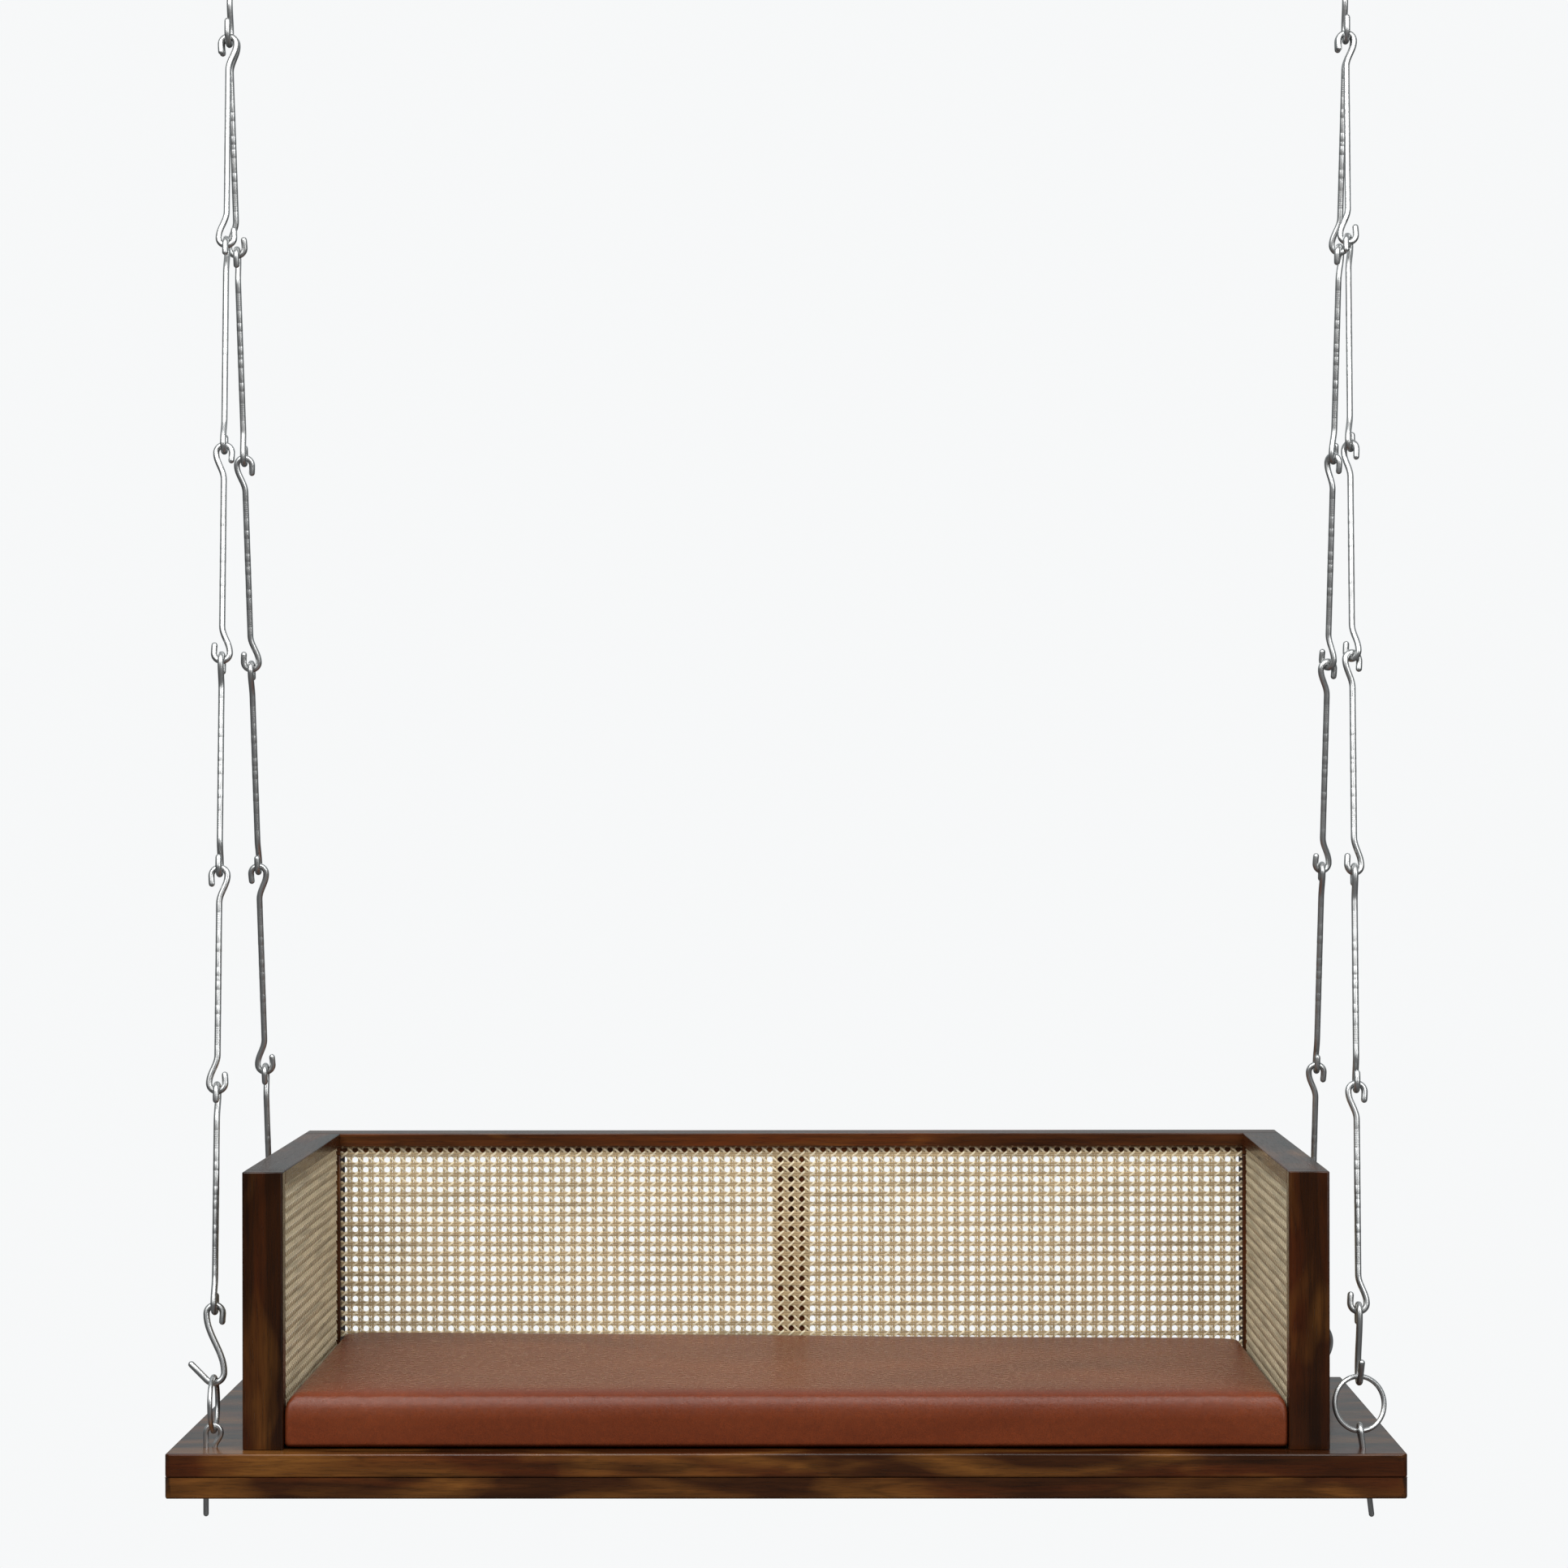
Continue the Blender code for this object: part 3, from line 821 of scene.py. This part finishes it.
def rebate(piece, low, high):
    """Cuts a step out of a board before its edges are rounded."""
    bpy.ops.mesh.primitive_cube_add(size=1)
    tool = bpy.context.object
    tool.name = "rebate_tool"
    tool.matrix_world = Matrix.Identity(4)
    tool.data.transform(Matrix.Translation((low + high) / 2) @ Matrix.Diagonal((*(high - low), 1)))
    cut = piece.modifiers.new("rebate", "BOOLEAN")
    cut.operation = "DIFFERENCE"
    cut.object = tool
    others = [modifier for modifier in piece.modifiers if modifier != cut]
    shown = [modifier.show_viewport for modifier in others]
    for modifier in others:
        modifier.show_viewport = False
    graph = bpy.context.evaluated_depsgraph_get()
    shape = bpy.data.meshes.new_from_object(piece.evaluated_get(graph), depsgraph=graph)
    for modifier, state in zip(others, shown):
        modifier.show_viewport = state
    piece.modifiers.remove(cut)
    piece.data = shape
    bpy.data.objects.remove(tool, do_unlink=True)
    shaded(shape, BOARD_SHARP)


REBATE_CLEAR = 0.3 * MM
REBATE_REACH = 60 * MM
REBATE_RUN = 100 * MM


def add_wood():
    """Each wooden piece has its own cut of timber: its grain's axis, how amber, how light, and its rounds.
    The back posts' lightness is partly painted light.
    """
    timbers = {
        "platform_top_board": ("X", 1.0, 1.35, TOP_BOARD_ROUNDS),
        "platform_lower_board": ("X", 0.8, 1.3, LOWER_BOARD_ROUNDS),
        "back_top_rail": ("X", 0.2, 1.9, RAIL_ROUNDS),
        "back_bottom_rail": ("X", 0.4, 1.0, PLAIN_ROUNDS),
        "back_centre_stile": ("Z", 0.4, 1.3, PLAIN_ROUNDS),
    }
    for side in SIDES:
        timbers[f"front_post_{side}"] = ("Z", 0.5, 0.75, POST_ROUNDS)
        # The back posts' cut is made lighter as painted light. It brightens their inner faces, which lie in
        # shade in the corners beside the back cane.
        timbers[f"back_post_{side}"] = ("Z", 0.3, 1.6, PLAIN_ROUNDS)
        timbers[f"arm_rail_{side}"] = ("Y", 0.4, 1.2, PLAIN_ROUNDS)
        timbers[f"arm_sill_{side}"] = ("Y", 0.4, 1.0, PLAIN_ROUNDS)
    pieces = {}
    for seed, (node, (axis, amber, tone, rounds)) in enumerate(timbers.items(), start=1):
        made_of = wood(f"timber_{node}", axis, seed, amber, tone)
        pieces[node] = bevelled_node(node, f"wooden_{node}", rounds, made_of, "seat")
    cut_rebates(pieces)


def cut_rebates(pieces):
    """The steps that the cane panels sit in, along the arm rails and the back rail."""
    clear = Vector((REBATE_CLEAR, REBATE_CLEAR, REBATE_CLEAR))
    for side, sign in SIDES.items():
        low, high = corners(f"cane_{side}")
        far = -sign * REBATE_REACH
        step_low = Vector((min(low.x, low.x + far), low.y - REBATE_RUN, low.z - REBATE_RUN)) - clear
        step_high = Vector((max(high.x, high.x + far), high.y + REBATE_RUN, high.z)) + clear
        rebate(pieces[f"arm_rail_{side}"], step_low, step_high)
    low, high = corners("cane_back")
    step_low = Vector((low.x, low.y - REBATE_REACH, low.z - REBATE_RUN)) - clear
    rebate(pieces["back_top_rail"], step_low, high + clear)


# ---------------------------------------------------------------- cane panels


def strand(verts, faces, path, width, side, normal, wander):
    """Adds one flat strand with a slightly domed face along a path of points."""
    width *= wander.uniform(*STRAND_SPREAD)
    start = len(verts)
    for point in path:
        drift = wander.uniform(-STRAND_WANDER, STRAND_WANDER)
        for across, up in STRAND_SECTION:
            verts.append(point + side * (across * width + drift) + normal * up * STRAND_THICK)
    count = len(STRAND_SECTION)
    for k in range(len(path) - 1):
        one = start + k * count
        for c in range(count):
            after = (c + 1) % count
            faces.append((one + c, one + after, one + count + after, one + count + c))
    faces.append(tuple(range(start, start + count)))
    last = start + (len(path) - 1) * count
    faces.append(tuple(reversed(range(last, last + count))))


NO_MOVE = 1e-9
NO_LENGTH = 1e-6


class Panel:
    """A cane panel's plane: places are counted in holes along it and down from its first row."""

    def __init__(self, node, along, normal, top_gap):
        low, high = corners(node)
        high.z -= top_gap
        self.along, self.normal = along, normal
        self.middle = (low + high) / 2
        self.half = abs((high - low).dot(along)) / 2
        self.height = high.z - low.z
        self.columns = int(self.half / HOLE_PITCH_ALONG) + 1
        self.rows = int((self.height - FIRST_HOLE_DOWN) / HOLE_PITCH_DOWN) + 1

    def flat(self, column, row):
        """How far along from the middle and down from the top edge a place is."""
        return column * HOLE_PITCH_ALONG, FIRST_HOLE_DOWN + row * HOLE_PITCH_DOWN

    def at(self, along, down, lift):
        up = self.height / 2 - down
        return self.middle + self.along * along + Vector((0, 0, up)) + self.normal * lift

    def path(self, stations):
        """Points for (column, row, lift) stations, cut off at the panel's edges."""
        flat = [(*self.flat(column, row), lift * MM) for column, row, lift in stations]
        kept = []
        for before, after in zip(flat, flat[1:]):
            piece = self.cut(before, after)
            if piece:
                kept += piece if not kept else piece[1:]
        return [self.at(*point) for point in kept]

    def cut(self, before, after):
        """The part of a straight stretch that is inside the panel, or nothing."""
        low, high = 0.0, 1.0
        for start, stop, least, most in (
            (before[0], after[0], -self.half, self.half),
            (before[1], after[1], 0.0, self.height),
        ):
            move = stop - start
            if abs(move) < NO_MOVE:
                if not least <= start <= most:
                    return None
                continue
            bounds = sorted(((least - start) / move, (most - start) / move))
            low, high = max(low, bounds[0]), min(high, bounds[1])
        if high - low < NO_LENGTH:
            return None
        return [tuple(a + (b - a) * share for a, b in zip(before, after)) for share in (low, high)]


def upright_strands(panel, wander):
    """Upright pairs between the columns of holes, under the level strands."""
    verts, faces = [], []
    for column in range(-panel.columns, panel.columns + 1):
        for pair in (-0.5, 0.5):
            place = column + 0.5 + pair * UPRIGHT_PAIR / HOLE_PITCH_ALONG
            stations = [(place, k / 2, UPRIGHT_LIFTS[1 - k % 2]) for k in range(-1, 2 * panel.rows + 2)]
            path = panel.path(stations)
            if len(path) > 1:
                strand(verts, faces, path, UPRIGHT_WIDTH, panel.along, panel.normal, wander)
    return verts, faces


def level_strands(panel, wander):
    """Level pairs between the rows of holes, over the upright strands, and one strand along the top edge."""
    verts, faces = [], []
    at_edge = (LEVEL_WIDTH / 2 - FIRST_HOLE_DOWN) / HOLE_PITCH_DOWN
    span = range(-2 * panel.columns - 1, 2 * panel.columns + 2)
    for row in range(-1, panel.rows + 1):
        for pair in (-0.5, 0.5):
            place = row + 0.5 + pair * LEVEL_PAIR / HOLE_PITCH_DOWN
            if row == -1 and pair > 0:
                place = at_edge
            path = panel.path([(k / 2, place, LEVEL_LIFTS[1 - k % 2]) for k in span])
            if len(path) > 1:
                strand(verts, faces, path, LEVEL_WIDTH, Vector((0, 0, 1)), panel.normal, wander)
    return verts, faces


def diagonal_strands(panel, slope, wander):
    """Diagonals one way. Rising ones (slope 1) pass over the level pairs, falling ones over the uprights."""
    verts, faces = [], []
    side = (panel.along * HOLE_PITCH_DOWN - Vector((0, 0, slope * HOLE_PITCH_ALONG))).normalized()
    for start in range(-panel.columns - panel.rows - 2, panel.columns + panel.rows + 3):
        stations = []
        for k in range(-2, 2 * panel.rows + 3):
            column = start + 0.5 - slope * k / 2
            on_level_pair = k % 2 == 1
            over = on_level_pair == (slope > 0)
            lift = DIAGONAL_OVER if over else DIAGONAL_UNDER
            for share in (-0.5 * DIAGONAL_FLAT, 0.5 * DIAGONAL_FLAT):
                stations.append((column - slope * share, k / 2 + share, lift))
        path = panel.path(stations)
        if len(path) > 1:
            strand(verts, faces, path, DIAGONAL_WIDTH, side, panel.normal, wander)
    return verts, faces


# All strands are one cane. The diagonals' paler straw is a painted highlight, and the darker straw of the
# upright and level strands is partly painted shade.
STRAW_WITH_PAINTED_SHADE = (0.47, 0.35, 0.19)
STRAW_WITH_PAINTED_HIGHLIGHT = (0.86, 0.76, 0.53)


def cane_panel(node, along, normal, level_axis, top_gap=0.0):
    """Six-way woven cane in place of a panel. normal faces the sitter."""
    panel = Panel(node, along, normal, top_gap)
    wander = random.Random(node)
    parts = {
        "uprights": (upright_strands(panel, wander), "Z", STRAW_WITH_PAINTED_SHADE),
        "levels": (level_strands(panel, wander), level_axis, STRAW_WITH_PAINTED_SHADE),
        "rising": (diagonal_strands(panel, 1, wander), level_axis, STRAW_WITH_PAINTED_HIGHLIGHT),
        "falling": (diagonal_strands(panel, -1, wander), level_axis, STRAW_WITH_PAINTED_HIGHLIGHT),
    }
    for part, ((verts, faces), axis, tint) in parts.items():
        name = f"woven_{node}_{part}"
        mesh = finished_mesh(name, verts, faces, STRAND_SHARP)
        piece = new_piece(name, mesh, cane(f"cane_of_{node}_{part}", axis, tint), "seat")
        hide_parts(node)


def add_cane():
    cane_panel("cane_back", Vector((1, 0, 0)), Vector((0, -1, 0)), "X")
    cane_panel("cane_left", Vector((0, 1, 0)), Vector((1, 0, 0)), "Y", SIDE_TOP_GAP)
    cane_panel("cane_right", Vector((0, 1, 0)), Vector((-1, 0, 0)), "Y", SIDE_TOP_GAP)


# ---------------------------------------------------------------- cushion

VOXEL = 6 * MM
CUSHION_INSET = Vector((3, 3, 4)) * MM
CUSHION_TOP_ROUND = 17 * MM
CUSHION_FOOT_ROUND = 1.5 * MM
CUSHION_CORNER = 5 * MM
SIDE_PRESS = 1.4 * MM
SWELL_CAP = 3 * MM
CROWN = 3 * MM
BACK_RISE = 3 * MM
BACK_FALL = 8 * MM
WAVE = 1.2 * MM
WAVE_SCALE = Vector((3.2, 5.0, 0.0))
WAVE_LEVEL = Vector((0.0, 0.0, 7.3))
SQUARER = 1.15
FOOT_SQUARER = 1.35
CROWN_POWER = 12

# The cover's cloth.
PRESSURE = 4.0
TENSION = 25
COMPRESSION = 12
BENDING = 1.5
SWELL_FRAMES = 20


def cushion_block():
    """The cushion before it swells: a rounded box a little inside its node."""
    low, high = corners("cushion")
    low, high = low + CUSHION_INSET, high - CUSHION_INSET
    low.z = corners("cushion")[0].z
    name = "leatherette_cushion"
    piece = rounded_block(name, low, high, CUSHION_TOP_ROUND, CUSHION_FOOT_ROUND, CUSHION_CORNER, 4)
    remesh = piece.modifiers.new("remesh", "REMESH")
    remesh.mode = "VOXEL"
    remesh.voxel_size = VOXEL
    return piece


def applied(piece):
    """Replaces a piece's mesh with its evaluated one and drops its modifiers."""
    graph = bpy.context.evaluated_depsgraph_get()
    shape = bpy.data.meshes.new_from_object(piece.evaluated_get(graph), depsgraph=graph)
    piece.modifiers.clear()
    piece.data = shape


def swell(piece):
    """Pumps the block up like stuffing under a cover, and stops each point at a cap."""
    start = [vert.co.copy() for vert in piece.data.vertices]
    cloth = piece.modifiers.new("cloth", "CLOTH")
    settings = cloth.settings
    settings.use_pressure = True
    settings.uniform_pressure_force = PRESSURE
    settings.effector_weights.gravity = 0.0
    settings.tension_stiffness = TENSION
    settings.compression_stiffness = COMPRESSION
    settings.bending_stiffness = BENDING
    cloth.collision_settings.use_collision = False
    scene = bpy.context.scene
    for number in range(1, SWELL_FRAMES + 1):
        scene.frame_set(number)
    applied(piece)
    scene.frame_set(1)
    for vert, rest in zip(piece.data.vertices, start):
        move = vert.co - rest
        if move.length > SWELL_CAP:
            vert.co = rest + move * (SWELL_CAP / move.length)


def squared(share):
    """Moves a share between -1 and 1 nearer to its end, which tightens the rounding there."""
    return math.copysign(1 - max(0.0, 1 - abs(share)) ** SQUARER, share)


def settle_shape(piece):
    """Presses the sides against the arms, crowns the top, and lets it fall towards the right back corner."""
    low, high = corners("cushion")
    low.x -= SIDE_PRESS
    high.x += SIDE_PRESS
    middle = (low + high) / 2
    half = (high - low) / 2
    spots = [vert.co for vert in piece.data.vertices]
    least = [min(spot[k] for spot in spots) for k in range(3)]
    most = [max(spot[k] for spot in spots) for k in range(3)]
    for spot in spots:
        share_x, share_y = (squared(2 * (spot[k] - least[k]) / (most[k] - least[k]) - 1) for k in range(2))
        up = ((spot.z - least[2]) / (most[2] - least[2])) ** FOOT_SQUARER
        top = max(0.0, 2 * up - 1)
        crown = (1 - share_x**CROWN_POWER) * (1 - share_y**CROWN_POWER)
        wave = noise.noise(spot * WAVE_SCALE + WAVE_LEVEL)
        lean = (1 + share_y) / 2 * (BACK_RISE - BACK_FALL * (1 + share_x) / 2)
        spot.x = middle.x + half.x * share_x
        spot.y = middle.y + half.y * share_y
        spot.z = low.z + (high.z - low.z) * up + top * (crown * (CROWN + WAVE * wave) + lean)


def add_cushion():
    made_of = leatherette()
    piece = cushion_block()
    applied(piece)
    swell(piece)
    settle_shape(piece)
    piece.data.materials.clear()
    piece.data.materials.append(made_of)
    smooth = piece.modifiers.new("smooth", "SUBSURF")
    smooth.levels = smooth.render_levels = 1
    piece.data.shade_smooth()
    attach(piece, "seat")
    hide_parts("cushion")


# ---------------------------------------------------------------- everything

bpy.context.scene.view_settings.view_transform = "Standard"
add_camera()
add_lights()
add_world()
add_floor()
METAL = steel()
LINK = link_mesh()
RING = rod("ring", arc((0, 0), RING_RADIUS, 0, 360, 5)[:-1], RING_WIRE, closed=True)
for SIDE in SIDES:
    add_ceiling(SIDE, METAL)
    for END in ENDS:
        add_chain(SIDE, END, METAL, LINK, RING)
add_staples(METAL)
add_wood()
add_cane()
add_cushion()
